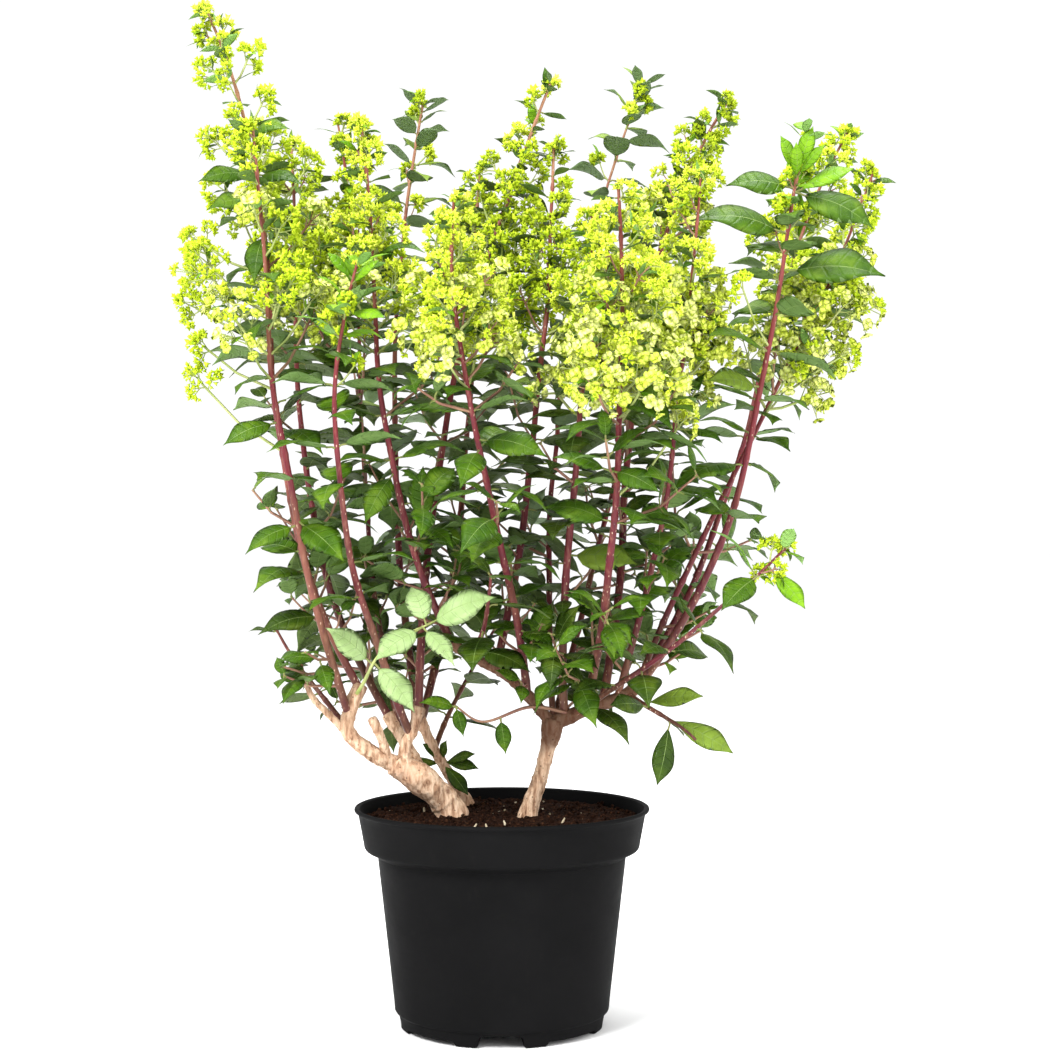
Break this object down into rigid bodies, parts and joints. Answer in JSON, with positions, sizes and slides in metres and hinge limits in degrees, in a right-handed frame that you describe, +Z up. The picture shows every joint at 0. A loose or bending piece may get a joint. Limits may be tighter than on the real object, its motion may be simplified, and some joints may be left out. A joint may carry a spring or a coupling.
{
  "type": "potted panicle hydrangea",
  "caption": "Bushy flowering shrub with pruned woody trunks, red upright shoots, toothed green leaves and lime-green conical flower heads, in a round black nursery pot.",
  "frame": {"origin": "centre of the flat underside of the pot", "axes": "+Z up along the pot's axis, +X to the right and -Y towards the viewer in the front view"},
  "size_m": [0.6128, 0.4884, 0.891],
  "materials": {
    "pot_plastic": "satin",
    "potting_soil": "matte",
    "old_bark": "matte",
    "red_shoot": "satin",
    "foliage": "satin"
  },
  "bodies": {
    "root": {"pot": "pot_plastic", "soil": "potting_soil", "trunk_left": "old_bark", "trunk_back": "old_bark", "trunk_right": "old_bark", "limb_left": "old_bark", "limb_mid": "old_bark", "limb_inner": "old_bark", "limb_right": "old_bark", "limb_crossing": "old_bark", "stub_left": "old_bark", "stub_pruned": "old_bark", "bough_tall_left": "red_shoot", "bough_left_front": "red_shoot", "bough_left_back": "red_shoot", "bough_bright_front": "red_shoot", "bough_left_mid": "red_shoot", "bough_crossing": "red_shoot", "bough_leaning": "red_shoot", "bough_back_left": "red_shoot", "bough_back_mid": "red_shoot", "bough_front_left": "red_shoot", "bough_mid": "red_shoot", "bough_back_high": "red_shoot", "bough_centre": "red_shoot", "bough_front_right": "red_shoot", "bough_right_back": "red_shoot", "bough_right_inner": "red_shoot", "bough_right_leafy": "red_shoot", "bough_right_far": "red_shoot", "bough_right_rear": "red_shoot", "bough_back_right": "red_shoot", "crown_tall_left": "foliage", "crown_left_front": "foliage", "crown_left_back": "foliage", "crown_bright_front": "foliage", "crown_left_mid": "foliage", "crown_crossing": "foliage", "crown_leaning": "foliage", "crown_back_left": "foliage", "crown_back_mid": "foliage", "crown_front_left": "foliage", "crown_mid": "foliage", "crown_back_high": "foliage", "crown_centre": "foliage", "crown_front_right": "foliage", "crown_right_back": "foliage", "crown_right_inner": "foliage", "crown_right_leafy": "foliage", "crown_right_far": "foliage", "crown_right_rear": "foliage", "crown_back_right": "foliage", "low_pale": "foliage", "low_left": "foliage", "low_centre": "foliage", "low_back": "foliage", "low_right": "foliage", "low_whip": "foliage"}
  },
  "joints": []
}
